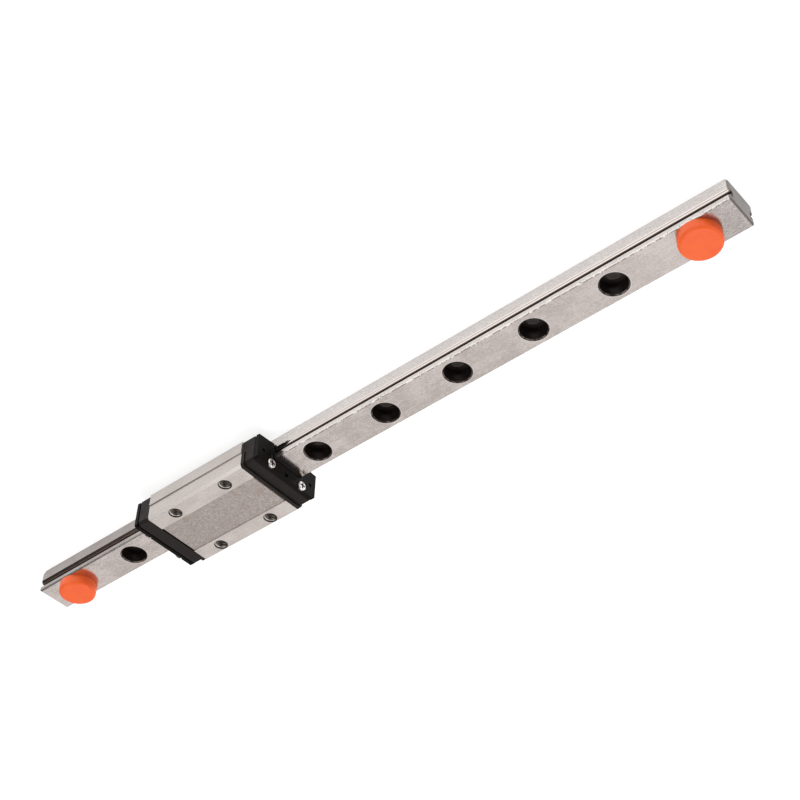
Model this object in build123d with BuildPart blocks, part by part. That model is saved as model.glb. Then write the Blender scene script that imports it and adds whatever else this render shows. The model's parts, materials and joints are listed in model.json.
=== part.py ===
# Size 9 miniature profile rail guide: a ground rail with a long recirculating-ball carriage
# and a soft stop plug in each end hole.
#
# Frame: X runs along the rail, Y across it, Z up. The origin is under the middle of the rail,
# on the face that bolts to the machine bed. All sizes are millimetres.
#
# "left" and "right" are the -X and +X ends, "front" and "rear" the -Y and +Y sides.

import math
import os

from build123d import *

os.makedirs("parts", exist_ok=True)

# ---------------------------------------------------------------- driving dimensions

# Rail
rail_length = 199.3
rail_width = 9.0
rail_height = 6.5
rail_edge_chamfer = 0.3
rail_foot_chamfer = 0.5
rail_left_top_bevel = 0.6
rail_right_top_bevel = 0.35
rail_left_foot_bevel = (2.0, 1.4)
rail_right_foot_bevel = (1.0, 1.0)
hole_pitch = 20.0
hole_count = 10
bolt_hole_radius = 1.75
counterbore_radius = 3.0
counterbore_depth = 3.5
counterbore_rim = 0.3
bolt_hole_foot_rim = 0.2

# Raceways: one ball row on each side of the rail
ball_radius = 1.0
ball_row_y = 4.85
ball_row_z = 4.3
raceway_clearance = 0.06
relief_bottom_y = 3.25
relief_mouth_y = 4.25
relief_half_height = 0.38
straight_balls = 14
turn_balls = 2
turn_half_angle = 45.0

# Carriage as a whole
carriage_x = -39.3
carriage_top = 10.0
carriage_half_width = 10.0
block_length = 29.9
cap_thickness = 4.0
seal_thickness = 1.0

# Carriage block
block_bottom = 2.3
block_upper_half_width = 9.75
block_step_z = 5.75
block_shoulder_z = 9.2
land_outer_y = 9.25
land_inner_y = 5.25
strip_recess = 0.2
strip_end_relief = 0.35
block_edge_chamfer = 0.3
block_end_chamfer = 0.2
tunnel_half_width = 5.2
tunnel_roof_z = 7.0
tunnel_corner = 0.5
return_hole_y = 7.8
return_clearance = 0.06
mount_spacing_x = 16.0
mount_spacing_y = 15.0
mount_hole_radius = 1.5
mount_hole_depth = 3.0
mount_hole_rim = 0.1
mount_hole_rim_angle = 90.0

# End caps
cap_bottom = 2.25
cap_foot_z = 2.5
flange_thickness = 0.9
flange_inset = 0.04
cap_edge_chamfer = 0.4
cap_half_width = 9.5
cap_top = 9.55
cap_corner_z = 8.7
cap_corner_y = 8.95
guide_half_height = 1.45
guide_pocket_gap = 0.03
grease_slot_width = 0.4
grease_slot_depth = 0.4
grease_slot_z = 7.3
grease_drop_y = 7.1
grease_hole_z = 8.6
grease_hole_radius = 0.5
peg_y = 7.75
peg_z = 6.35
peg_radius = 0.4
peg_length = 0.7
peg_clearance = 0.05

# End seals
seal_top = 9.5
seal_half_width = 9.5
seal_corner = 0.5
seal_edge_chamfer = 0.06
seal_opening_half_width = 5.3
seal_opening_top = 6.95
wiper_clearance = 0.15
wiper_thickness = 0.8

# Bottom seals
bottom_seal_inner_y = 4.8
bottom_seal_outer_y = 8.6
bottom_seal_thickness = 0.4

# Cap screws
screw_y = 5.0
screw_z = 8.45
screw_radius = 0.75
screw_clearance = 0.1
screw_grip_in_block = 4.0
screw_hole_in_block = 4.8
screw_head_radius = 1.15
screw_head_height = 0.7
screw_head_crown = 0.3
head_recess_radius = 1.32
head_recess_depth = 0.3
cross_length = 1.6
cross_width = 0.42
cross_depth = 0.5

# Ball retainer wires
wire_radius = 0.175
wire_y = 3.6
wire_reach = 3.0
wire_bend_radius = 0.5
wire_hook_y = 6.0
wire_hole_clearance = 0.025

# Stop plugs
plug_x = 90.0
plug_head_radius = 4.55
plug_head_height = 2.6
plug_edge_radius = 0.8
plug_stem_radius = 2.9
plug_stem_length = 3.2
plug_stem_chamfer = 0.4

# ---------------------------------------------------------------- derived places

rail_half_width = rail_width / 2
raceway_radius = ball_radius + raceway_clearance
channel_radius = ball_radius + return_clearance
turn_radius = (return_hole_y - ball_row_y) / 2
turn_y = (return_hole_y + ball_row_y) / 2
block_left = carriage_x - block_length / 2
block_right = carriage_x + block_length / 2
cap_outer = block_right + cap_thickness
seal_outer = cap_outer + seal_thickness
strip_z = carriage_top - strip_recess
flange_top = carriage_top - flange_inset

rail_left_plane = Plane.YZ.offset(-rail_length / 2)
block_left_plane = Plane.YZ.offset(block_left)
block_right_plane = Plane.YZ.offset(block_right)
cap_outer_plane = Plane.YZ.offset(cap_outer)
carriage_mid_plane = Plane.YZ.offset(carriage_x)


def finish(piece, label):
    """Name a finished piece and write its file."""
    piece.part.label = label
    export_step(piece.part, f"parts/{label}.step")


def closed_half(points):
    """A face from the +Y half of an outline that starts and ends on the middle plane, mirrored."""
    with BuildSketch() as face:
        with BuildLine():
            Polyline(*points)
            mirror(about=Plane.YZ)
        make_face()
    return face.sketch


def groove_edge_z(half_width, radius, wall_y):
    """Half the opening of a round raceway groove where it meets a flat wall."""
    return math.sqrt(radius**2 - (wall_y - half_width) ** 2)


def rail_section(grow):
    """The rail's cross-section, every face moved outwards by grow, without the relief slots."""
    wall = rail_half_width + grow
    radius = raceway_radius - grow
    half_opening = groove_edge_z(ball_row_y, radius, wall)
    top = rail_height + grow
    with BuildSketch() as face:
        with BuildLine():
            lower = Polyline(
                (0, -grow),
                (wall - rail_foot_chamfer, -grow),
                (wall, rail_foot_chamfer - grow),
                (wall, ball_row_z - half_opening),
            )
            groove = ThreePointArc(
                lower @ 1,
                (ball_row_y - radius, ball_row_z),
                (wall, ball_row_z + half_opening),
            )
            Polyline(
                groove @ 1,
                (wall, top - rail_edge_chamfer),
                (wall - rail_edge_chamfer, top),
                (0, top),
            )
            mirror(about=Plane.YZ)
        make_face()
    return face.sketch


def outer_rim(piece):
    """The edges round a cap or plate's outer end face, leaving out those of its rail opening."""
    rim = piece.faces().sort_by(Axis.X)[-1].outer_wire().edges()
    return rim.filter_by(
        lambda edge: abs(edge.center().Y) > seal_opening_half_width or edge.center().Z > cap_corner_z
    )


# ---------------------------------------------------------------- rail

with BuildPart() as rail:
    with BuildSketch(rail_left_plane):
        add(rail_section(0))
        # a relief slot runs along the bottom of each raceway groove
        relief_y = (relief_bottom_y + relief_mouth_y) / 2
        with Locations((relief_y, ball_row_z), (-relief_y, ball_row_z)):
            Rectangle(relief_mouth_y - relief_bottom_y, 2 * relief_half_height, mode=Mode.SUBTRACT)
    extrude(amount=rail_length)
    # the ends are bevelled by hand after cutting, more at the left foot than elsewhere
    with BuildSketch(Plane.XZ):
        with BuildLine():
            Polyline(
                (rail_left_foot_bevel[0] - rail_length / 2, 0),
                (rail_length / 2 - rail_right_foot_bevel[0], 0),
                (rail_length / 2, rail_right_foot_bevel[1]),
                (rail_length / 2, rail_height - rail_right_top_bevel),
                (rail_length / 2 - rail_right_top_bevel, rail_height),
                (rail_left_top_bevel - rail_length / 2, rail_height),
                (-rail_length / 2, rail_height - rail_left_top_bevel),
                (-rail_length / 2, rail_left_foot_bevel[1]),
                close=True,
            )
        make_face()
    extrude(amount=rail_width, both=True, mode=Mode.INTERSECT)
    with BuildSketch(Plane.XY):
        top_view = Rectangle(rail_length, rail_width)
        chamfer(top_view.vertices(), rail_right_top_bevel)
    extrude(amount=rail_height, mode=Mode.INTERSECT)
    with Locations(Plane.XY.offset(rail_height)):
        with GridLocations(hole_pitch, 0, hole_count, 1):
            CounterBoreHole(bolt_hole_radius, counterbore_radius, counterbore_depth)
    for level, rim in ((-1, counterbore_rim), (0, bolt_hole_foot_rim)):
        chamfer(rail.edges().filter_by(GeomType.CIRCLE).group_by(Axis.Z)[level], rim)
finish(rail, "rail")

# ---------------------------------------------------------------- stop plugs

plug_top = rail_height + plug_head_height
plug_stem_bottom = rail_height - plug_stem_length

for plug_name, x in (("stop_plug_left", -plug_x), ("stop_plug_right", plug_x)):
    with BuildPart() as stop_plug:
        with BuildSketch(Plane.XZ.shift_origin((x, 0, 0))):
            with BuildLine():
                Polyline(
                    (0, plug_stem_bottom),
                    (plug_stem_radius - plug_stem_chamfer, plug_stem_bottom),
                    (plug_stem_radius, plug_stem_bottom + plug_stem_chamfer),
                    (plug_stem_radius, rail_height),
                    (plug_head_radius, rail_height),
                    (plug_head_radius, plug_top),
                    (0, plug_top),
                    close=True,
                )
            make_face()
        revolve(axis=Axis((x, 0, 0), (0, 0, 1)))
        fillet(stop_plug.edges().filter_by(GeomType.CIRCLE).group_by(Axis.Z)[-1], plug_edge_radius)
    finish(stop_plug, plug_name)

# ---------------------------------------------------------------- carriage block

block_groove_half = groove_edge_z(ball_row_y, raceway_radius, tunnel_half_width)

with BuildPart() as carriage_block:
    with BuildSketch(block_left_plane):
        with BuildLine():
            outer = Polyline(
                (0, strip_z),
                (land_inner_y, strip_z),
                (land_inner_y, carriage_top),
                (land_outer_y, carriage_top),
                (block_upper_half_width, block_shoulder_z),
                (block_upper_half_width, block_step_z),
                (carriage_half_width, block_step_z),
                (carriage_half_width, block_bottom + block_edge_chamfer),
                (carriage_half_width - block_edge_chamfer, block_bottom),
                (tunnel_half_width + block_edge_chamfer, block_bottom),
                (tunnel_half_width, block_bottom + block_edge_chamfer),
                (tunnel_half_width, ball_row_z - block_groove_half),
            )
            raceway = ThreePointArc(
                outer @ 1,
                (ball_row_y + raceway_radius, ball_row_z),
                (tunnel_half_width, ball_row_z + block_groove_half),
            )
            Polyline(
                raceway @ 1,
                (tunnel_half_width, tunnel_roof_z - tunnel_corner),
                (tunnel_half_width - tunnel_corner, tunnel_roof_z),
                (0, tunnel_roof_z),
            )
            mirror(about=Plane.YZ)
        make_face()
        # a return hole for each ball circuit
        with Locations((return_hole_y, ball_row_z), (-return_hole_y, ball_row_z)):
            Circle(channel_radius, mode=Mode.SUBTRACT)
    extrude(amount=block_length)
    with BuildSketch(Plane.XZ):
        with Locations((carriage_x, carriage_top / 2)):
            block_side = Rectangle(block_length, carriage_top)
        chamfer(block_side.vertices().group_by(Axis.Y)[-1], block_end_chamfer)
    extrude(amount=carriage_half_width, both=True, mode=Mode.INTERSECT)
    # the recessed strip between the lands is relieved a little more at each end
    with BuildSketch(Plane.XZ):
        with Locations((block_left, strip_z), (block_right, strip_z)):
            Rectangle(2 * strip_end_relief, 2 * strip_recess)
    extrude(amount=land_inner_y, both=True, mode=Mode.SUBTRACT)
    with Locations(Plane.XY.offset(carriage_top).shift_origin((carriage_x, 0, carriage_top))):
        with GridLocations(mount_spacing_x, mount_spacing_y, 2, 2):
            CounterSinkHole(
                radius=mount_hole_radius,
                counter_sink_radius=mount_hole_radius + mount_hole_rim,
                depth=mount_hole_depth,
                counter_sink_angle=mount_hole_rim_angle,
            )
    # tapped holes for the cap screws, two in each end face
    for end_plane, direction in ((block_right_plane, -1), (block_left_plane, 1)):
        with BuildSketch(end_plane):
            with Locations((screw_y, screw_z), (-screw_y, screw_z)):
                Circle(screw_radius)
        extrude(amount=direction * screw_hole_in_block, mode=Mode.SUBTRACT)
finish(carriage_block, "carriage_block")

# ---------------------------------------------------------------- end caps

tunnel_points = (
    (0, tunnel_roof_z),
    (tunnel_half_width - tunnel_corner, tunnel_roof_z),
    (tunnel_half_width, tunnel_roof_z - tunnel_corner),
)
# the flange frames only the upper part of the block; below the step the cap's sides run straight
flange_points = (
    (tunnel_half_width, block_step_z),
    (block_upper_half_width - flange_inset, block_step_z),
    (block_upper_half_width - flange_inset, block_shoulder_z - flange_inset),
    (land_outer_y - flange_inset, flange_top),
    (0, flange_top),
)
cap_points = (
    (tunnel_half_width, cap_bottom),
    (cap_half_width, cap_foot_z),
    (cap_half_width, cap_corner_z),
    (cap_corner_y, cap_top),
    (0, cap_top),
)

with BuildPart() as end_cap_right:
    with BuildSketch(block_right_plane):
        add(closed_half(tunnel_points + flange_points))
    extrude(amount=flange_thickness)
    with BuildSketch(block_right_plane):
        add(closed_half(tunnel_points + cap_points))
    extrude(amount=cap_thickness)
    chamfer(outer_rim(end_cap_right), cap_edge_chamfer)
    # outer half of each ball turnaround, and the pocket that its inner guide sits in
    with Locations((block_right, turn_y, ball_row_z), (block_right, -turn_y, ball_row_z)):
        Torus(turn_radius, channel_radius, mode=Mode.SUBTRACT)
        Cylinder(turn_radius, 2 * (guide_half_height + guide_pocket_gap), mode=Mode.SUBTRACT)
    # screw clearance holes and the grease hole
    with BuildSketch(cap_outer_plane):
        with Locations((screw_y, screw_z), (-screw_y, screw_z)):
            Circle(screw_radius + screw_clearance)
    extrude(amount=-cap_thickness, mode=Mode.SUBTRACT)
    with BuildSketch(cap_outer_plane):
        with Locations((0, grease_hole_z)):
            Circle(grease_hole_radius)
    extrude(amount=-cap_thickness, mode=Mode.SUBTRACT)
    # grease slots in the face against the block, from the hole down and out to both circuits
    with BuildSketch(block_right_plane):
        with Locations((0, (grease_hole_z + grease_slot_z) / 2)):
            Rectangle(grease_slot_width, grease_hole_z - grease_slot_z + grease_slot_width)
        with Locations((0, grease_slot_z)):
            Rectangle(2 * grease_drop_y + grease_slot_width, grease_slot_width)
        with Locations(
            (grease_drop_y, (grease_slot_z + ball_row_z) / 2),
            (-grease_drop_y, (grease_slot_z + ball_row_z) / 2),
        ):
            Rectangle(grease_slot_width, grease_slot_z - ball_row_z)
    extrude(amount=grease_slot_depth, mode=Mode.SUBTRACT)
    # a socket in each leg for the hooked end of the retainer wire
    with BuildSketch(Plane.XZ):
        with Locations((block_right + wire_reach, ball_row_z)):
            Circle(wire_radius + wire_hole_clearance)
    extrude(amount=wire_hook_y + wire_radius, both=True, mode=Mode.SUBTRACT)
    # locating pegs for the end seal
    with BuildSketch(cap_outer_plane):
        with Locations((peg_y, peg_z), (-peg_y, peg_z)):
            Circle(peg_radius)
    extrude(amount=peg_length)
finish(end_cap_right, "end_cap_right")

with BuildPart() as end_cap_left:
    mirror(end_cap_right.part, about=carriage_mid_plane)
finish(end_cap_left, "end_cap_left")

# ---------------------------------------------------------------- return guides

# The inner half of each turnaround: a half spool that the balls roll round.
for side_name, side in (("rear", 1), ("front", -1)):
    with BuildPart() as return_guide_right:
        with Locations((block_right, side * turn_y, ball_row_z)):
            Cylinder(turn_radius - guide_pocket_gap, 2 * guide_half_height)
            Torus(turn_radius, channel_radius, mode=Mode.SUBTRACT)
        split(bisect_by=block_right_plane, keep=Keep.TOP)
        with BuildSketch(Plane.XZ.offset(-side * tunnel_half_width)):
            with Locations((block_right, ball_row_z)):
                Rectangle(2 * turn_radius, 4 * guide_half_height)
        extrude(amount=side * tunnel_half_width, mode=Mode.SUBTRACT)
    finish(return_guide_right, f"return_guide_right_{side_name}")

    with BuildPart() as return_guide_left:
        mirror(return_guide_right.part, about=carriage_mid_plane)
    finish(return_guide_left, f"return_guide_left_{side_name}")

# ---------------------------------------------------------------- end seals

seal_outline = (
    (0, seal_opening_top),
    (seal_opening_half_width - tunnel_corner, seal_opening_top),
    (seal_opening_half_width, seal_opening_top - tunnel_corner),
    (seal_opening_half_width, cap_bottom),
    (seal_half_width, cap_foot_z),
    (seal_half_width, seal_top - seal_corner),
    (seal_half_width - seal_corner, seal_top),
    (0, seal_top),
)
wiper_outline = (
    (0, cap_bottom),
    (seal_opening_half_width, cap_bottom),
    (seal_opening_half_width, seal_opening_top - tunnel_corner),
    (seal_opening_half_width - tunnel_corner, seal_opening_top),
    (0, seal_opening_top),
)

with BuildPart() as seal_plate_right:
    with BuildSketch(cap_outer_plane):
        add(closed_half(seal_outline))
        with Locations((screw_y, screw_z), (-screw_y, screw_z)):
            Circle(screw_radius + screw_clearance, mode=Mode.SUBTRACT)
        with Locations((0, grease_hole_z)):
            Circle(grease_hole_radius, mode=Mode.SUBTRACT)
        with Locations((peg_y, peg_z), (-peg_y, peg_z)):
            Circle(peg_radius + peg_clearance, mode=Mode.SUBTRACT)
    extrude(amount=seal_thickness)
    with BuildSketch(Plane.YZ.offset(seal_outer)):
        with Locations((screw_y, screw_z), (-screw_y, screw_z)):
            Circle(head_recess_radius)
    extrude(amount=-head_recess_depth, mode=Mode.SUBTRACT)
    chamfer(outer_rim(seal_plate_right), seal_edge_chamfer)
finish(seal_plate_right, "seal_plate_right")

with BuildPart() as seal_plate_left:
    mirror(seal_plate_right.part, about=carriage_mid_plane)
finish(seal_plate_left, "seal_plate_left")

# The rubber lip fills the plate's opening and follows the rail with a hair of clearance.
with BuildPart() as wiper_right:
    with BuildSketch(cap_outer_plane.offset(seal_thickness - wiper_thickness)):
        add(closed_half(wiper_outline))
        add(rail_section(wiper_clearance), mode=Mode.SUBTRACT)
    extrude(amount=wiper_thickness)
finish(wiper_right, "wiper_right")

with BuildPart() as wiper_left:
    mirror(wiper_right.part, about=carriage_mid_plane)
finish(wiper_left, "wiper_left")

# ---------------------------------------------------------------- cap screws

head_seat_x = seal_outer - head_recess_depth
head_top_x = head_seat_x + screw_head_height

for side_name, side in (("rear", 1), ("front", -1)):
    with BuildPart() as cap_screw_right:
        with BuildSketch(Plane.YZ.offset(block_right - screw_grip_in_block)):
            with Locations((side * screw_y, screw_z)):
                Circle(screw_radius)
        extrude(amount=screw_grip_in_block + cap_thickness + seal_thickness)
        with BuildSketch(Plane.YZ.offset(head_seat_x)):
            with Locations((side * screw_y, screw_z)):
                Circle(screw_head_radius)
        extrude(amount=screw_head_height)
        fillet(cap_screw_right.faces().sort_by(Axis.X)[-1].edges(), screw_head_crown)
        with BuildSketch(Plane.YZ.offset(head_top_x)):
            with Locations((side * screw_y, screw_z)):
                Rectangle(cross_length, cross_width)
                Rectangle(cross_width, cross_length)
        extrude(amount=-cross_depth, mode=Mode.SUBTRACT)
    finish(cap_screw_right, f"cap_screw_right_{side_name}")

    with BuildPart() as cap_screw_left:
        mirror(cap_screw_right.part, about=carriage_mid_plane)
    finish(cap_screw_left, f"cap_screw_left_{side_name}")

# ---------------------------------------------------------------- bottom seals

for side_name, side in (("rear", 1), ("front", -1)):
    with BuildPart() as bottom_seal:
        with BuildSketch(block_left_plane):
            with Locations(
                (
                    side * (bottom_seal_inner_y + bottom_seal_outer_y) / 2,
                    block_bottom - bottom_seal_thickness / 2,
                )
            ):
                Rectangle(bottom_seal_outer_y - bottom_seal_inner_y, bottom_seal_thickness)
        extrude(amount=block_length)
    finish(bottom_seal, f"bottom_seal_{side_name}")

# ---------------------------------------------------------------- ball circuits


def circuit_centres(side):
    """Ball centres round one circuit: the loaded row, a turn, the return row and a turn back."""
    turn = math.radians(turn_half_angle)
    turn_x = turn_radius * math.cos(turn)
    turn_offset = turn_radius * math.sin(turn)
    # the last ball of a straight row stands clear of the first ball in the turn
    step_y = turn_radius - turn_offset
    touch = 2 * (ball_radius + raceway_clearance / 2)
    end_gap = math.sqrt(touch**2 - step_y**2) - turn_x
    first_x = block_left + end_gap
    pitch = (block_length - 2 * end_gap) / (straight_balls - 1)
    centres = []
    for i in range(straight_balls):
        centres.append((first_x + i * pitch, side * ball_row_y, ball_row_z))
        centres.append((first_x + i * pitch, side * return_hole_y, ball_row_z))
    for x in (block_left - turn_x, block_right + turn_x):
        for i in range(turn_balls):
            y = turn_y + turn_offset * (2 * i - 1)
            centres.append((x, side * y, ball_row_z))
    return centres


for side_name, side in (("rear", 1), ("front", -1)):
    with BuildPart() as ball_circuit:
        with Locations(*circuit_centres(side)):
            Sphere(ball_radius)
    finish(ball_circuit, f"ball_circuit_{side_name}")

# ---------------------------------------------------------------- ball retainer wires

wire_left = block_left - wire_reach
wire_right = block_right + wire_reach

for side_name, side in (("rear", 1), ("front", -1)):
    with BuildPart() as retainer_wire:
        with BuildLine() as wire_path:
            FilletPolyline(
                (wire_left, side * wire_hook_y, ball_row_z),
                (wire_left, side * wire_y, ball_row_z),
                (wire_right, side * wire_y, ball_row_z),
                (wire_right, side * wire_hook_y, ball_row_z),
                radius=wire_bend_radius,
            )
        with BuildSketch(Plane(wire_path.line @ 0, z_dir=wire_path.line % 0)):
            Circle(wire_radius)
        sweep()
    finish(retainer_wire, f"retainer_wire_{side_name}")
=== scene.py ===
# Looks for the miniature linear guide: materials, tapped threads, floor, light and camera.
# Metres, in the CAD model's frame: X along the rail, Y across it, Z up from the rail's foot.

import json
import math

import bmesh
import bpy
from mathutils import Matrix, Vector


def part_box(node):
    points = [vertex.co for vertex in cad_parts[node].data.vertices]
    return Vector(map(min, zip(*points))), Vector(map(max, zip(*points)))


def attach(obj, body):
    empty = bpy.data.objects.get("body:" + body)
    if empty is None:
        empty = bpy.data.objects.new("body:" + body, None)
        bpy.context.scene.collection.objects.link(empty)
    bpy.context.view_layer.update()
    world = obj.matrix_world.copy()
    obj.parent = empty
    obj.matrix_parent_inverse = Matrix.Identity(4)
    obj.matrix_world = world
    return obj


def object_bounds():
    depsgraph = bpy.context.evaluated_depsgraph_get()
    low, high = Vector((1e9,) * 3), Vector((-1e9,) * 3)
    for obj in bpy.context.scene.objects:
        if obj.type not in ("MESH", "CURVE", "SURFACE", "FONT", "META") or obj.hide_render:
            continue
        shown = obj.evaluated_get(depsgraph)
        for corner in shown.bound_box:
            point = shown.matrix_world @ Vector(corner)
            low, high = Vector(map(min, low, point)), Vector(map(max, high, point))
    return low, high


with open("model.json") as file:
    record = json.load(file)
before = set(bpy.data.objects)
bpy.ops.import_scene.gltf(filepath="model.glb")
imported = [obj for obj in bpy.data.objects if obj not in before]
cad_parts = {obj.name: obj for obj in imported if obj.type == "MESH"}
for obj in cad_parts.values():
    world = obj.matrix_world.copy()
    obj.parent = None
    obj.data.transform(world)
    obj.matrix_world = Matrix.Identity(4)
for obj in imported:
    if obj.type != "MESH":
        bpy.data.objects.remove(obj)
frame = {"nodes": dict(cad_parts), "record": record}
cad_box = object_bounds()

nodes = frame["nodes"]
mounts = {mount["name"]: mount for mount in frame["record"]["mounts"]}
MM = 0.001

# ---------------------------------------------------------------- places read from the frame

_, rail_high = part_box("rail")
block_low, block_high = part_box("carriage_block")
ball_low, ball_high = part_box("ball_circuit_rear")
carriage_x = (block_low.x + block_high.x) / 2
block_half_length = (block_high.x - block_low.x) / 2
raceway_z = (ball_low.z + ball_high.z) / 2
hole_pitch = mounts["rail_screws_20"]["dims"]["spacing_x_mm"] * MM
screw_pattern = mounts["carriage_screws"]


# ---------------------------------------------------------------- node helpers


class Tree:
    """A node tree with short calls for the nodes used here."""

    def __init__(self, tree):
        self.tree = tree

    def node(self, kind, **settings):
        made = self.tree.nodes.new(kind)
        for key, value in settings.items():
            setattr(made, key, value)
        return made

    def link(self, source, target):
        """Gives a socket its value: another node's output, a number, or a colour."""
        if isinstance(source, (int, float)):
            target.default_value = source
        elif isinstance(source, tuple):
            target.default_value = (*source, 1.0)
        else:
            self.tree.links.new(source, target)

    def math(self, operation, *values):
        made = self.node("ShaderNodeMath", operation=operation)
        for value, target in zip(values, made.inputs):
            self.link(value, target)
        return made.outputs[0]

    def product(self, *factors):
        """All the factors multiplied. Of masks, it is 1 where every one of them is 1."""
        result, *others = factors
        for factor in others:
            result = self.math("MULTIPLY", result, factor)
        return result

    def length(self, a, b):
        """The length of a vector with the components a and b."""
        squares = self.math("POWER", a, 2.0), self.math("POWER", b, 2.0)
        return self.math("SQRT", self.math("ADD", *squares))

    def separate(self, vector):
        split = self.node("ShaderNodeSeparateXYZ")
        self.link(vector, split.inputs[0])
        return split.outputs

    def ramp(self, value, low, high, out_low=0.0, out_high=1.0):
        """A smooth step from out_low to out_high as value goes from low to high."""
        made = self.node("ShaderNodeMapRange", interpolation_type="SMOOTHSTEP")
        self.link(value, made.inputs["Value"])
        self.link(low, made.inputs["From Min"])
        self.link(high, made.inputs["From Max"])
        self.link(out_low, made.inputs["To Min"])
        self.link(out_high, made.inputs["To Max"])
        return made.outputs[0]

    def edge(self, value, limits, out_low=0.0, out_high=1.0):
        """A ramp whose two limits are in millimetres."""
        none, whole = limits
        return self.ramp(value, none * MM, whole * MM, out_low, out_high)

    def band(self, value, limits):
        """1 between the inner two of four limits in millimetres, and 0 outside the outer two."""
        start, whole, still_whole, end = limits
        return self.product(self.edge(value, (start, whole)), self.edge(value, (end, still_whole)))

    def mixed(self, data_type, share, first, second):
        """first where share is 0, and second where it is 1."""
        made = self.node("ShaderNodeMix", data_type=data_type)
        self.link(share, made.inputs["Factor"])
        self.link(first, made.inputs["A"])
        self.link(second, made.inputs["B"])
        return made.outputs["Result"]

    def mix(self, share, first, second):
        return self.mixed("RGBA", share, first, second)

    def blend(self, share, first, second):
        return self.mixed("FLOAT", share, first, second)


class Surface(Tree):
    """A material's tree, with textures laid out on the object's own coordinates."""

    SOCKETS = {
        "colour": "Base Color",
        "metallic": "Metallic",
        "roughness": "Roughness",
        "normal": "Normal",
        "ior": "IOR",
        "subsurface": "Subsurface Weight",
        "subsurface_scale": "Subsurface Scale",
        "anisotropic": "Anisotropic",
        "tangent": "Tangent",
        "glow": "Emission Color",
        "glow_strength": "Emission Strength",
    }

    def __init__(self, name):
        self.material = bpy.data.materials.new(name)
        self.material.use_nodes = True
        super().__init__(self.material.node_tree)
        self.shader = self.tree.nodes["Principled BSDF"]
        self.place = self.node("ShaderNodeTexCoord").outputs["Object"]

    def axes(self):
        return self.separate(self.place)

    def noise(self, scale, detail=3.0, roughness=0.5):
        """Noise from 0 to 1. scale is a triple of features per metre along each axis."""
        mapping = self.node("ShaderNodeMapping")
        self.link(self.place, mapping.inputs["Vector"])
        mapping.inputs["Scale"].default_value = scale
        made = self.node("ShaderNodeTexNoise")
        self.link(mapping.outputs[0], made.inputs["Vector"])
        self.link(1.0, made.inputs["Scale"])
        self.link(detail, made.inputs["Detail"])
        self.link(roughness, made.inputs["Roughness"])
        return made.outputs["Fac"]

    def bump(self, height, distance, under=None):
        """A normal tilted by the height, on top of the normal given as under."""
        made = self.node("ShaderNodeBump")
        self.link(1.0, made.inputs["Strength"])
        self.link(distance, made.inputs["Distance"])
        self.link(height, made.inputs["Height"])
        if under is not None:
            self.link(under, made.inputs["Normal"])
        return made.outputs["Normal"]

    def coats(self, colour, layers):
        """Lays layers of (mask, cover, colour) over a colour, each covering it by the share cover."""
        for mask, cover, paint in layers:
            share = mask if cover == 1.0 else self.product(mask, cover)
            colour = self.mix(share, colour, paint)
        return colour

    def set(self, **values):
        for key, value in values.items():
            self.link(value, self.shader.inputs[self.SOCKETS[key]])
        return self.material


# ---------------------------------------------------------------- ground steel

# In all the materials, colours are linear red, green and blue, and a pair of colours is mixed by
# a texture. Texture scales are features per metre along X, Y and Z.

PIT = (0.30, 0.25, 0.22)
STAIN = (0.36, 0.28, 0.22)
GRAIN_RELIEF = 0.0000004
GRINDING_ANISOTROPY = 0.75


def ground_steel(name, bright, dark, roughness):
    """Ground tool steel: a fine even grain, faint lines along X, cloudy patches and a few stains.

    Returns the surface with its stained colour, its roughness and its relief.
    """
    t = Surface(name)
    grain = t.noise((2300, 3300, 3300), detail=3.0, roughness=0.7)
    lines = t.noise((110, 4200, 4200), detail=2.0)
    clouds = t.noise((170, 230, 230), detail=5.0, roughness=0.6)
    stain = t.ramp(t.noise((120, 210, 210), detail=5.0, roughness=0.65), 0.60, 0.74)
    tone = t.math("ADD", t.product(grain, 0.45), t.product(clouds, 0.4))
    tone = t.math("ADD", tone, t.product(lines, 0.15))
    body = t.mix(t.ramp(tone, 0.40, 0.60), dark, bright)
    pit = t.ramp(t.noise((1900, 2600, 2600), detail=2.0, roughness=0.6), 0.66, 0.74)
    stained = t.coats(body, ((pit, 0.35, PIT), (stain, 0.22, STAIN)))
    base_roughness = t.ramp(tone, 0.35, 0.65, roughness + 0.06, roughness - 0.04)
    relief = t.bump(t.math("ADD", t.product(grain, 0.7), lines), GRAIN_RELIEF)
    # grinding scratches run along X, so a highlight spreads across them: along Y or Z
    across_scratches = t.node("ShaderNodeCombineXYZ")
    t.link(1.0, across_scratches.inputs["Y"])
    t.link(1.0, across_scratches.inputs["Z"])
    t.set(tangent=across_scratches.outputs[0], anisotropic=GRINDING_ANISOTROPY)
    return t, stained, base_roughness, relief


# ---------------------------------------------------------------- the rail's steel

# Limits of the rail's zones, in millimetres. A pair goes from where a zone isn't to where it is
# whole. Four limits make a band: none, whole, whole, none. Across is the distance from the rail's
# middle plane, reach is from the nearest screw hole's axis, and height is above the rail's foot.

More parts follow.
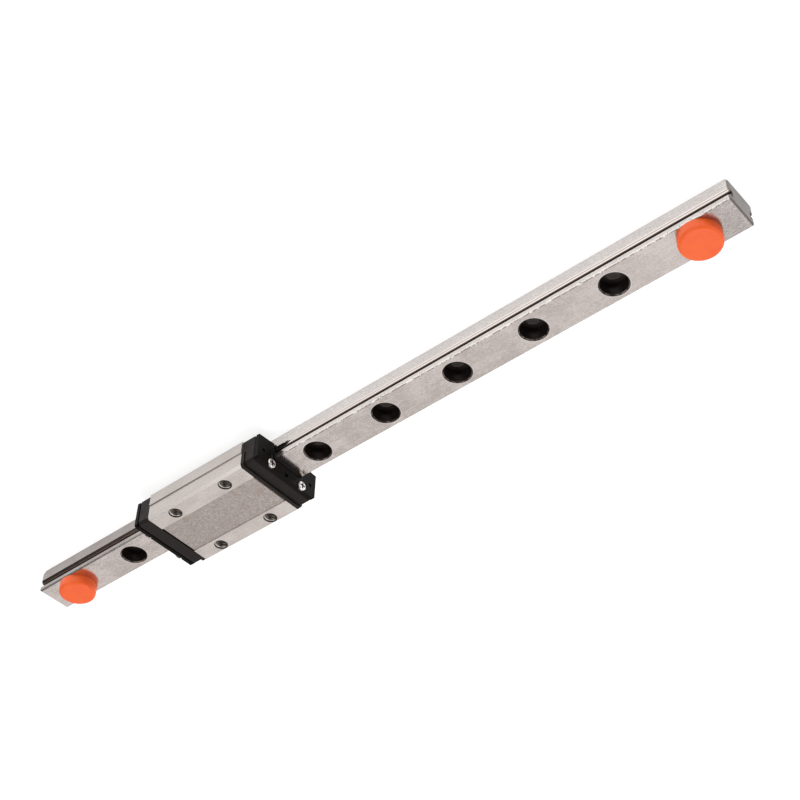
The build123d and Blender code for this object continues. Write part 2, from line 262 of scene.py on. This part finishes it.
HOLE_REACH = (3.31, 3.28)
HOLE_HEIGHT = (0.02, 0.1)
RIM_HEIGHT = (6.19, 6.23)
# the ring of painted highlight around each hole
RIM_HIGHLIGHT_REACH = (3.31, 3.33, 3.40, 3.50)
TOP_HEIGHT = (6.45, 6.48)
STEP_REACH = (1.92, 1.87)
STEP_HEIGHT = (2.70, 2.80, 3.04, 3.10)
GROOVE_ACROSS = (3.1, 3.2, 4.45, 4.49)
GROOVE_HEIGHT = (3.28, 3.34, 5.26, 5.32)
SLOT_ACROSS = (3.96, 3.92)
TRACK_OFF_MIDDLE = (0.76, 0.79, 0.89, 0.92)
EDGE_HEIGHT = (6.17, 6.22)
EDGE_ACROSS = (4.18, 4.22)
BURR_ACROSS = (4.15, 4.18, 4.32, 4.35)
BURR_HEIGHT = (6.25, 6.30)
BURR_ALONG = (-60.0, -30.0)
BURR_STRENGTH = (0.35, 1.0)
SIDE_ACROSS = (4.47, 4.49)
SIDE_HEIGHT = (0.30, 0.40)
# where the painted shade on the sides and the raceway fades from its left to its right colour
SHADE_ALONG = (-75.0, -30.0)
TIP_ALONG = (82.0, 96.0)
FOOT_HEIGHT = (0.36, 0.28)
FOOT_ACROSS = (4.10, 4.18)
# where the painted shade on the end bevels and end faces lies
END_BEVEL_DEPTH = (0.4, 0.3)
END_FACE_DEPTH = (0.05, 0.02)

RAIL_BRIGHT = (0.755, 0.692, 0.668)
RAIL_DARK = (0.550, 0.488, 0.466)
RAIL_ROUGHNESS = 0.19
# painted shade on the sides, the right tip of the top and the raceway, darker towards the left end
SIDE_SHADE_LEFT = ((0.185, 0.169, 0.161), (0.245, 0.225, 0.215))
SIDE_SHADE_RIGHT = ((0.51, 0.485, 0.471), (0.69, 0.658, 0.641))
TIP_SHADE = ((0.27, 0.246, 0.235), (0.43, 0.400, 0.387))
RACEWAY_SHADE_LEFT = (0.45, 0.34, 0.30)
RACEWAY_RIGHT = (0.74, 0.69, 0.665)
RAIL_EDGE = (0.74, 0.71, 0.69)
# painted shade on the bevel at the foot, where the rail meets the floor
FOOT_SHADE = (0.36, 0.325, 0.305)
BALL_TRACK = (0.33, 0.28, 0.26)
# painted shade in the slot at the groove's bottom
SLOT_SHADE = (0.150, 0.105, 0.090)
BURR = (0.13, 0.105, 0.095)
NICK = (0.07, 0.06, 0.055)
# painted shade on the bevels and faces at the rail's ends
END_BEVEL_SHADE = (0.12, 0.100, 0.090)
END_FACE_SHADE = (0.085, 0.073, 0.066)
# painted highlight around the screw holes, and painted shade with a painted glint inside them
RIM_HIGHLIGHT = (0.88, 0.84, 0.82)
HOLE_SHADE = (0.036, 0.027, 0.024)
STEP_GLINT = (0.085, 0.058, 0.046)
RIM_SHADE = (0.19, 0.155, 0.140)


def rail_steel():
    """Ground faces, polished raceways and nicked edges, with painted shade and painted highlights at
    the screw holes, sides, slot, ends and foot.
    """
    t, stained, base_roughness, relief = ground_steel(
        "rail_steel", RAIL_BRIGHT, RAIL_DARK, RAIL_ROUGHNESS
    )
    x, y, z = t.axes()
    across = t.math("ABSOLUTE", y)
    from_middle = t.math("ABSOLUTE", x)
    on_top = t.edge(z, TOP_HEIGHT)

    # a screw hole: painted shade on its walls, a painted glint on the step inside, lighter patches of
    # painted shade at the rim, and a painted highlight in a ring around it. The middle of each gap
    # between holes is at a multiple of the pitch.
    from_gap = t.math("PINGPONG", x, hole_pitch / 2)
    reach = t.length(t.math("SUBTRACT", hole_pitch / 2, from_gap), y)
    in_hole = t.product(t.edge(reach, HOLE_REACH), t.edge(z, HOLE_HEIGHT))
    on_rim = t.product(in_hole, t.edge(z, RIM_HEIGHT))
    # random patches where the painted shade at the rim is lighter
    rim_patches = t.ramp(t.noise((900, 900, 900), detail=3.0, roughness=0.6), 0.44, 0.56)
    # the painted highlight in a ring around each hole
    rim_highlight = t.product(t.band(reach, RIM_HIGHLIGHT_REACH), on_top)
    at_step = t.product(t.edge(reach, STEP_REACH), t.band(z, STEP_HEIGHT))

    # the raceway groove: a slot at its bottom, painted dark as painted shade, and a thin dull track
    # worn by the balls in each flank
    in_groove = t.product(t.band(across, GROOVE_ACROSS), t.band(z, GROOVE_HEIGHT))
    in_slot = t.product(in_groove, t.edge(across, SLOT_ACROSS))
    off_middle = t.math("ABSOLUTE", t.math("SUBTRACT", z, raceway_z))
    on_track = t.product(in_groove, t.band(off_middle, TRACK_OFF_MIDDLE))

    # the bevelled top edges carry short dark nicks, and a broken dark line where they meet the top
    # face, fainter towards the left end
    on_edge = t.product(t.edge(z, EDGE_HEIGHT), t.edge(across, EDGE_ACROSS))
    nick = t.ramp(t.noise((3600, 2600, 2600), detail=2.0, roughness=0.6), 0.58, 0.64)
    nicked = t.ramp(t.noise((90, 40, 40), detail=2.0), 0.40, 0.52)
    nick = t.product(nick, nicked, on_edge)
    broken = t.ramp(t.noise((520, 10, 10), detail=4.0, roughness=0.7), 0.42, 0.52)
    burr = t.product(t.band(across, BURR_ACROSS), t.edge(z, BURR_HEIGHT))
    burr = t.product(burr, t.edge(x, BURR_ALONG, *BURR_STRENGTH), broken)

    # the side faces above and below the groove, the bevel at the foot, and the right end of the top
    on_side = t.product(t.edge(across, SIDE_ACROSS), t.edge(z, SIDE_HEIGHT))
    at_foot = t.product(t.edge(z, FOOT_HEIGHT), t.edge(across, FOOT_ACROSS))
    on_tip = t.product(t.edge(x, TIP_ALONG), on_top)

    def near_end(depths):
        """1 near both ends of the rail, between two depths in millimetres."""
        none, whole = (rail_high.x - depth * MM for depth in depths)
        return t.ramp(from_middle, none, whole)

    # painted shade: the sides and the raceway are painted darker, most towards the left end, and the
    # top is painted darker at the right tip
    shade_mottle = t.ramp(t.noise((1300, 2900, 2900), detail=3.0, roughness=0.7), 0.35, 0.65)
    to_right = t.edge(x, SHADE_ALONG)
    rail_side_shade = t.mix(to_right, t.mix(shade_mottle, *SIDE_SHADE_LEFT), t.mix(shade_mottle, *SIDE_SHADE_RIGHT))
    layers = (
        # painted shade on the sides, darker towards the left end
        (on_side, 0.70, rail_side_shade),
        (on_edge, 0.60, RAIL_EDGE),
        # painted shade at the right tip of the top
        (on_tip, 0.80, t.mix(shade_mottle, *TIP_SHADE)),
        # painted shade on the bevel at the foot
        (at_foot, 0.80, FOOT_SHADE),
        # painted shade on the raceway, darker towards the left end
        (in_groove, 1.0, t.mix(to_right, RACEWAY_SHADE_LEFT, RACEWAY_RIGHT)),
        (on_track, 0.85, BALL_TRACK),
        # painted shade in the slot
        (in_slot, 1.0, SLOT_SHADE),
        (burr, 0.80, BURR),
        (nick, 0.85, NICK),
        # painted shade on the rail's end bevels and end faces
        (near_end(END_BEVEL_DEPTH), 0.80, END_BEVEL_SHADE),
        (near_end(END_FACE_DEPTH), 0.85, END_FACE_SHADE),
        # painted highlight around each hole, then painted shade inside it, with a painted glint on
        # the step and lighter patches at the rim
        (rim_highlight, 0.60, RIM_HIGHLIGHT),
        (in_hole, 1.0, HOLE_SHADE),
        (t.product(in_hole, at_step), 1.0, STEP_GLINT),
        (t.product(on_rim, rim_patches), 1.0, RIM_SHADE),
    )
    rough = t.blend(in_groove, base_roughness, 0.13)
    rough = t.blend(in_slot, rough, 0.5)
    return t.set(
        colour=t.coats(stained, layers),
        metallic=t.blend(in_hole, 1.0, 0.6),
        roughness=t.blend(in_hole, rough, 0.33),
        normal=relief,
    )


# ---------------------------------------------------------------- the carriage block's steel

# Limits in millimetres, as for the rail. Aside is the distance from the guide's middle plane.

STRIP_HEIGHT = (9.6, 9.7, 9.83, 9.86)
STRIP_ASIDE = (5.28, 5.24)
TAPPED_REACH_PAST_WALL = (0.16, 0.13)
TAPPED_HEIGHT = (6.0, 6.2)
BLOCK_SIDE_ASIDE = (9.70, 9.73)
BLOCK_SIDE_HEIGHT = (9.22, 9.18)
LOWER_SIDE_ASIDE = (9.80, 9.90)
BEVEL_ASIDE = (8.0, 8.1)
BEVEL_HEIGHT = (9.18, 9.22, 9.95, 9.99)
RELIEF_DEPTH = (0.34, 0.30)
RELIEF_HEIGHT = (9.5, 9.56, 9.72, 9.78)
RELIEF_ASIDE = (5.35, 5.28)

BLOCK_BRIGHT = (0.775, 0.716, 0.684)
BLOCK_DARK = (0.630, 0.568, 0.536)
BLOCK_ROUGHNESS = 0.27
STRIP = ((0.500, 0.440, 0.414), (0.640, 0.572, 0.542))
STRIP_SPECK = (0.29, 0.247, 0.220)
STRIP_RUST = (0.40, 0.32, 0.24)
STRIP_RELIEF = 0.000012
# painted shade on the sides, and a painted highlight on the bevel
UPPER_SIDE_SHADE = (0.475, 0.437, 0.412)
LOWER_SIDE_SHADE = (0.445, 0.412, 0.390)
BEVEL_HIGHLIGHT = (0.97, 0.91, 0.88)
# painted shade on the walls of the carriage's screw holes
TAPPED_WALL_SHADE = (0.022, 0.018, 0.016)
# painted shade beside the caps
RELIEF_SHADE = (0.034, 0.024, 0.019)


def block_steel():
    """Bright ground lands on the carriage and a duller strip left as hardened, with painted shade in
    the screw holes, on the sides and beside the caps, and a painted highlight on the bevels.
    """
    t, stained, base_roughness, relief = ground_steel(
        "block_steel", BLOCK_BRIGHT, BLOCK_DARK, BLOCK_ROUGHNESS
    )
    x, y, z = t.axes()
    aside = t.math("ABSOLUTE", y)

    # the strip between the lands: blotchy, speckled and a little rusty
    in_strip = t.product(t.band(z, STRIP_HEIGHT), t.edge(aside, STRIP_ASIDE))
    blotch = t.noise((1400, 1400, 1400), detail=6.0, roughness=0.75)
    speck = t.noise((3400, 3400, 3400), detail=3.0, roughness=0.6)
    rust = t.ramp(t.noise((260, 260, 260), detail=4.0), 0.56, 0.72)
    strip = t.mix(t.ramp(blotch, 0.36, 0.64), *STRIP)
    strip = t.mix(t.ramp(speck, 0.50, 0.66, 0.0, 0.70), strip, STRIP_SPECK)
    strip = t.coats(strip, ((rust, 0.35, STRIP_RUST),))
    grit = t.bump(t.math("ADD", blotch, speck), STRIP_RELIEF, under=relief)

    # the four screw holes, by distance from the nearest one's axis, with painted shade on their walls
    dims = screw_pattern["dims"]
    centre_x = screw_pattern["pos_m"][0]
    from_x = t.math("ABSOLUTE", t.math("SUBTRACT", x, centre_x))
    dx = t.math("SUBTRACT", from_x, dims["spacing_x_mm"] * MM / 2)
    dy = t.math("SUBTRACT", aside, dims["spacing_y_mm"] * MM / 2)
    none, whole = (dims["hole_r_mm"] * MM + past * MM for past in TAPPED_REACH_PAST_WALL)
    in_hole = t.product(t.ramp(t.length(dx, dy), none, whole), t.edge(z, TAPPED_HEIGHT))

    # the sides, painted darker than the top as painted shade, and the bevel between the upper side
    # and the top, painted bright as a painted highlight
    on_side = t.product(t.edge(aside, BLOCK_SIDE_ASIDE), t.edge(z, BLOCK_SIDE_HEIGHT))
    on_bevel = t.product(t.edge(aside, BEVEL_ASIDE), t.band(z, BEVEL_HEIGHT))
    block_side_shade = t.mix(t.edge(aside, LOWER_SIDE_ASIDE), UPPER_SIDE_SHADE, LOWER_SIDE_SHADE)

    # the relief beside each cap, at the strip's ends, is painted dark as painted shade where the caps
    # meet the strip
    none, whole = (block_half_length - depth * MM for depth in RELIEF_DEPTH)
    in_relief = t.ramp(t.math("ABSOLUTE", t.math("SUBTRACT", x, carriage_x)), none, whole)
    in_relief = t.product(in_relief, t.band(z, RELIEF_HEIGHT), t.edge(aside, RELIEF_ASIDE))

    layers = (
        (in_strip, 1.0, strip),
        # painted shade on the sides, and a painted highlight on the bevel
        (on_side, 0.75, block_side_shade),
        (on_bevel, 0.80, BEVEL_HIGHLIGHT),
        # painted shade in the screw holes
        (in_hole, 1.0, TAPPED_WALL_SHADE),
        # painted shade in the relief beside each cap
        (in_relief, 1.0, RELIEF_SHADE),
    )
    return t.set(
        colour=t.coats(stained, layers),
        metallic=t.blend(t.math("MAXIMUM", in_hole, in_relief), 1.0, 0.5),
        roughness=t.blend(in_hole, t.blend(in_strip, base_roughness, 0.5), 0.36),
        normal=t.mixed("VECTOR", in_strip, relief, grit),
    )


# ---------------------------------------------------------------- the other materials

# painted shade on the threads, and a painted highlight on their first turn
THREAD_SHADE = ((0.14, 0.117, 0.103), (0.33, 0.288, 0.260))
THREAD_HIGHLIGHT = (0.60, 0.56, 0.53)
FIRST_TURN = (-0.42, -0.30)
SCREW_PLATING = ((0.74, 0.71, 0.67), (0.84, 0.82, 0.79))
# painted shade in the screw heads' cross recess and around their edges
SCREW_SHADE = (0.030, 0.024, 0.020)
CROSS_DEPTH = (0.03, 0.06)
CROSS_RADIUS_SHARE = (0.76, 0.72)
HEAD_EDGE_DEPTH = (0.26, 0.34)
CAP_BLACK = (0.0120, 0.0084, 0.0074)
GUIDE_BLACK = (0.05, 0.05, 0.05)
SEAL_BLACK = (0.0040, 0.0032, 0.0027)
WIPER_BLACK = (0.0045, 0.004, 0.004)
BOTTOM_BLACK = (0.016, 0.016, 0.016)
BALL_BRIGHT = (0.78, 0.78, 0.78)
WIRE_BRIGHT = (0.70, 0.69, 0.67)
PLUG_ORANGE = ((0.98, 0.116, 0.010), (1.0, 0.138, 0.014))
PLUG_DUST = (1.0, 0.36, 0.14)


def thread_steel():
    """The crests of the tapped threads, painted dark as painted shade inside the holes, with a
    painted highlight on the first turn.
    """
    t = Surface("thread_steel")
    thread_mottle = t.noise((1500, 1500, 1500), detail=4.0)
    shaded_crests = t.mix(t.ramp(thread_mottle, 0.35, 0.65), *THREAD_SHADE)
    return t.set(
        # a painted highlight on the first turn, over the painted shade
        colour=t.mix(t.edge(t.axes()["Z"], FIRST_TURN), shaded_crests, THREAD_HIGHLIGHT),
        metallic=1.0,
        roughness=t.ramp(thread_mottle, 0.3, 0.7, 0.28, 0.40),
        normal=t.bump(thread_mottle, 0.000003),
    )


def moulded_black(name, colour, roughness, texture, ior=1.36):
    """Black engineering plastic or rubber with faint handling marks.

    texture is the height of its fine moulded texture, in metres.
    """
    t = Surface(name)
    fine = t.noise((9000, 9000, 9000), detail=2.0)
    soft = t.noise((420, 420, 420), detail=4.0)
    rub = t.ramp(t.noise((240, 700, 700), detail=5.0, roughness=0.6), 0.55, 0.75)
    lighter = tuple(min(1.0, c * 1.9 + 0.006) for c in colour)
    body = t.mix(t.ramp(soft, 0.35, 0.65), colour, tuple(c * 1.25 for c in colour))
    return t.set(
        colour=t.coats(body, ((rub, 0.5, lighter),)),
        roughness=t.ramp(soft, 0.3, 0.7, roughness - 0.06, roughness + 0.08),
        ior=ior,
        normal=t.bump(t.math("ADD", fine, t.product(soft, 0.6)), texture),
    )


def bright_metal(name, colour, roughness, scratch=900):
    """Plated or polished steel with hairline marks."""
    t = Surface(name)
    marks = t.noise((scratch, scratch * 4, scratch * 4), detail=4.0)
    return t.set(
        colour=t.mix(t.ramp(marks, 0.35, 0.65), tuple(c * 0.9 for c in colour), colour),
        metallic=1.0,
        roughness=t.ramp(marks, 0.3, 0.7, roughness, roughness + 0.1),
        normal=t.bump(marks, 0.000003),
    )


def screw_metal():
    """Bright nickel-plated screw heads, with painted shade in the cross recess and around the head's
    edge.
    """
    t = Surface("screw_metal")
    x, y, z = t.axes()
    marks = t.noise((1400, 1400, 1400), detail=4.0)
    low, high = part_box("cap_screw_right_rear")
    head_radius = (high.y - low.y) / 2
    from_carriage = t.math("ABSOLUTE", t.math("SUBTRACT", x, carriage_x))
    below_top = t.math("SUBTRACT", high.x - carriage_x, from_carriage)
    off_y = t.math("SUBTRACT", t.math("ABSOLUTE", y), (low.y + high.y) / 2)
    off_z = t.math("SUBTRACT", z, (low.z + high.z) / 2)
    none, whole = (share * head_radius for share in CROSS_RADIUS_SHARE)
    near_axis = t.ramp(t.length(off_y, off_z), none, whole)
    in_cross = t.product(t.edge(below_top, CROSS_DEPTH), near_axis)
    at_head_edge = t.edge(below_top, HEAD_EDGE_DEPTH)
    # painted shade in the cross recess and around the head's edge
    in_shade = t.math("MAXIMUM", in_cross, t.product(at_head_edge, 0.8))
    return t.set(
        colour=t.mix(in_shade, t.mix(t.ramp(marks, 0.35, 0.65), *SCREW_PLATING), SCREW_SHADE),
        metallic=t.blend(in_cross, 1.0, 0.4),
        roughness=t.ramp(marks, 0.3, 0.7, 0.12, 0.22),
        normal=t.bump(marks, 0.000006),
    )


def plug_orange():
    """Soft orange moulded rubber: satin, slightly translucent, with a fine matt texture."""
    t = Surface("plug_orange")
    fine = t.noise((7000, 7000, 7000), detail=2.0)
    soft = t.noise((300, 300, 300), detail=4.0)
    dust = t.ramp(t.noise((1500, 1500, 1500), detail=4.0, roughness=0.65), 0.62, 0.74)
    body = t.mix(t.ramp(soft, 0.35, 0.65), *PLUG_ORANGE)
    return t.set(
        colour=t.coats(body, ((dust, 0.10, PLUG_DUST),)),
        roughness=t.ramp(soft, 0.3, 0.7, 0.42, 0.52),
        subsurface=0.15,
        subsurface_scale=1.2 * MM,
        normal=t.bump(t.math("ADD", fine, soft), 0.000008),
    )


materials = {
    "rail_steel": rail_steel(),
    "block_steel": block_steel(),
    "cap_plastic": moulded_black("cap_plastic", CAP_BLACK, 0.45, 0.000008, ior=1.235),
    "guide_plastic": moulded_black("guide_plastic", GUIDE_BLACK, 0.38, 0.000004),
    "seal_black": moulded_black("seal_black", SEAL_BLACK, 0.38, 0.000005, ior=1.15),
    "wiper_rubber": moulded_black("wiper_rubber", WIPER_BLACK, 0.6, 0.000006, ior=1.25),
    "bottom_seal_rubber": moulded_black("bottom_seal_rubber", BOTTOM_BLACK, 0.55, 0.000006),
    "screw_metal": screw_metal(),
    "ball_steel": bright_metal("ball_steel", BALL_BRIGHT, 0.06, scratch=300),
    "wire_steel": bright_metal("wire_steel", WIRE_BRIGHT, 0.22),
    "plug_orange": plug_orange(),
}

for entry in frame["record"]["subparts"]:
    mesh = nodes[entry["node"]].data
    mesh.materials.clear()
    mesh.materials.append(materials[entry["material_slot"]])


# ---------------------------------------------------------------- threads in the carriage holes

THREAD_PITCH = 0.5 * MM
THREAD_HEIGHT = 0.22 * MM
THREAD_DEPTH = 2.5 * MM
COUNTERSINK_DEPTH = 0.3 * MM
STEPS_PER_TURN = 36


def thread_mesh(name, major, minor, pitch, depth):
    """A helical ridge that fills the space between a hole's wall and the thread's crest."""
    mesh = bpy.data.meshes.new(name)
    bm = bmesh.new()
    count = int(depth / pitch * STEPS_PER_TURN)
    crest = 0.12 * pitch
    root = 0.44 * pitch
    profile = ((major, -root), (minor, -crest), (minor, crest), (major, root))
    rings = []
    for i in range(count + 1):
        angle = 2 * math.pi * i / STEPS_PER_TURN
        z = -depth + pitch * i / STEPS_PER_TURN
        direction = Vector((math.cos(angle), math.sin(angle), 0))
        # the ridge fades out over half a turn at both ends, like a tap's first and last turn
        fade = min(1.0, i / STEPS_PER_TURN * 2, (count - i) / STEPS_PER_TURN * 2)
        ring = []
        for radius, dz in profile:
            r = major + (radius - major) * fade
            height = min(0.0, max(-depth, z + dz * max(fade, 0.05)))
            ring.append(bm.verts.new(direction * r + Vector((0, 0, height))))
        rings.append(ring)
    for a, b in zip(rings, rings[1:]):
        for j in range(len(profile)):
            k = (j + 1) % len(profile)
            bm.faces.new((a[j], a[k], b[k], b[j]))
    bm.faces.new(rings[0][::-1])
    bm.faces.new(rings[-1])
    bmesh.ops.recalc_face_normals(bm, faces=bm.faces)
    bm.to_mesh(mesh)
    bm.free()
    return mesh


def add_threads():
    """Stands a thread in each of the carriage's four screw holes."""
    dims = screw_pattern["dims"]
    centre = Vector(screw_pattern["pos_m"])
    major = dims["hole_r_mm"] * MM
    mesh = thread_mesh("m3_thread", major, major - THREAD_HEIGHT, THREAD_PITCH, THREAD_DEPTH)
    thread_material = thread_steel()
    for ix, end in ((-1, "left"), (1, "right")):
        for iy, row in ((-1, "front"), (1, "rear")):
            thread = bpy.data.objects.new(f"thread_{end}_{row}", mesh.copy())
            bpy.context.scene.collection.objects.link(thread)
            offset = Vector((ix * dims["spacing_x_mm"], iy * dims["spacing_y_mm"], 0)) * MM / 2
            thread.location = centre + offset + Vector((0, 0, -COUNTERSINK_DEPTH))
            thread.data.materials.append(thread_material)
            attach(thread, "carriage")


add_threads()


# ---------------------------------------------------------------- floor, light and camera

FLOOR_HALF = 3.0
FLOOR_GAP = 0.02 * MM
FLOOR_PAPER = ((0.38, 0.38, 0.38), (0.40, 0.40, 0.40))
FLOOR_GLOW = 0.80
TENT_WHITE = (1.0, 0.985, 0.97)
# the tent's opening, as limits on a unit vector's X, Y and Z, and the light it takes away
OPENING = ((-0.56, -0.62), (-0.12, 0.05), (0.05, 0.13))
OPENING_LOSS = 0.92
# round patches of the tent: a direction, and the angles from it where the patch ends and is whole
ROOF_PATCH = ((-0.18, 0.63, 0.76), 36, 24)
ROOF_LIGHT = 0.82
ROOF_PATCH_GAIN = 0.55
DIM_PATCH = ((0.48, 0.54, 0.69), 48, 20)
DIM_PATCH_LOSS = 0.6
CAMERA_PLACE = Vector((176.90, 188.00, 242.29)) * MM
CAMERA_RIGHT = Vector((0.7668, -0.6416, -0.0180))
CAMERA_BACK = Vector((0.4738, 0.5469, 0.6903))
CAMERA_LENS = 71.06
CAMERA_SENSOR = 36.0
CAMERA_CLIP = 0.01


def add_floor():
    """A pale sheet just below the rail's foot."""
    mesh = bpy.data.meshes.new("floor")
    z = cad_box[0][2] - FLOOR_GAP
    corners = [(x * FLOOR_HALF, y * FLOOR_HALF, z) for x, y in ((-1, -1), (1, -1), (1, 1), (-1, 1))]
    mesh.from_pydata(corners, [], [(0, 1, 2, 3)])
    floor = bpy.data.objects.new("floor", mesh)
    bpy.context.scene.collection.objects.link(floor)
    t = Surface("floor_white")
    paper = t.noise((900, 900, 900), detail=3.0)
    # like a light table, the sheet glows a little by itself
    t.set(
        colour=t.mix(t.ramp(paper, 0.3, 0.7), *FLOOR_PAPER),
        roughness=t.ramp(paper, 0.3, 0.7, 0.7, 0.8),
        glow=(1.0, 1.0, 1.0),
        glow_strength=FLOOR_GLOW,
    )
    floor.data.materials.append(t.material)


def add_world():
    """A white studio tent with a bright patch, a dim patch, and an opening at the rear left."""
    world = bpy.data.worlds.new("studio")
    world.use_nodes = True
    t = Tree(world.node_tree)
    direction = t.node("ShaderNodeTexCoord").outputs["Generated"]

    def patch(towards, wide, narrow):
        """1 within the angle narrow of a direction, falling smoothly to 0 at the angle wide."""
        facing = t.node("ShaderNodeVectorMath", operation="DOT_PRODUCT")
        t.link(direction, facing.inputs[0])
        facing.inputs[1].default_value = Vector(towards).normalized()
        none, whole = (math.cos(math.radians(angle)) for angle in (wide, narrow))
        return t.ramp(facing.outputs["Value"], none, whole)

    axes_and_limits = zip(t.separate(direction), OPENING)
    in_opening = t.product(*(t.ramp(axis, *limits) for axis, limits in axes_and_limits))
    opening = t.math("MULTIPLY_ADD", in_opening, -OPENING_LOSS, 1.0)
    roof = t.math("MULTIPLY_ADD", patch(*ROOF_PATCH), ROOF_PATCH_GAIN, ROOF_LIGHT)
    # the side that the photograph was taken from is dimmer than the rest
    dim = t.math("MULTIPLY_ADD", patch(*DIM_PATCH), -DIM_PATCH_LOSS, 1.0)
    background = t.tree.nodes["Background"]
    t.link(TENT_WHITE, background.inputs["Color"])
    t.link(t.product(opening, roof, dim), background.inputs["Strength"])
    bpy.context.scene.world = world


def add_light_panel(name, direction, distance, size, radiance):
    """A soft rectangular light that faces the middle of the guide."""
    lamp = bpy.data.lights.new(name, "AREA")
    lamp.shape = "RECTANGLE"
    lamp.size, lamp.size_y = size
    lamp.energy = radiance * math.pi * size[0] * size[1]
    panel = bpy.data.objects.new(name, lamp)
    bpy.context.scene.collection.objects.link(panel)
    way = Vector(direction).normalized()
    panel.location = way * distance
    panel.rotation_euler = way.to_track_quat("Z", "Y").to_euler()


def add_camera():
    """The photograph was taken from above the rear right corner, with the camera upside down."""
    camera = bpy.data.objects.new("camera", bpy.data.cameras.new("camera"))
    bpy.context.scene.collection.objects.link(camera)
    camera.data.lens = CAMERA_LENS
    camera.data.sensor_width = CAMERA_SENSOR
    camera.data.clip_start = CAMERA_CLIP
    back = CAMERA_BACK.normalized()
    up = back.cross(CAMERA_RIGHT.normalized()).normalized()
    turn = Matrix((up.cross(back), up, back)).transposed().to_4x4()
    camera.matrix_world = Matrix.Translation(CAMERA_PLACE) @ turn
    bpy.context.scene.camera = camera


add_floor()
add_world()
add_light_panel("key", direction=(0.02, -0.28, 0.96), distance=1.1, size=(0.5, 0.5), radiance=3.9)
add_camera()
bpy.context.scene.view_settings.view_transform = "Standard"
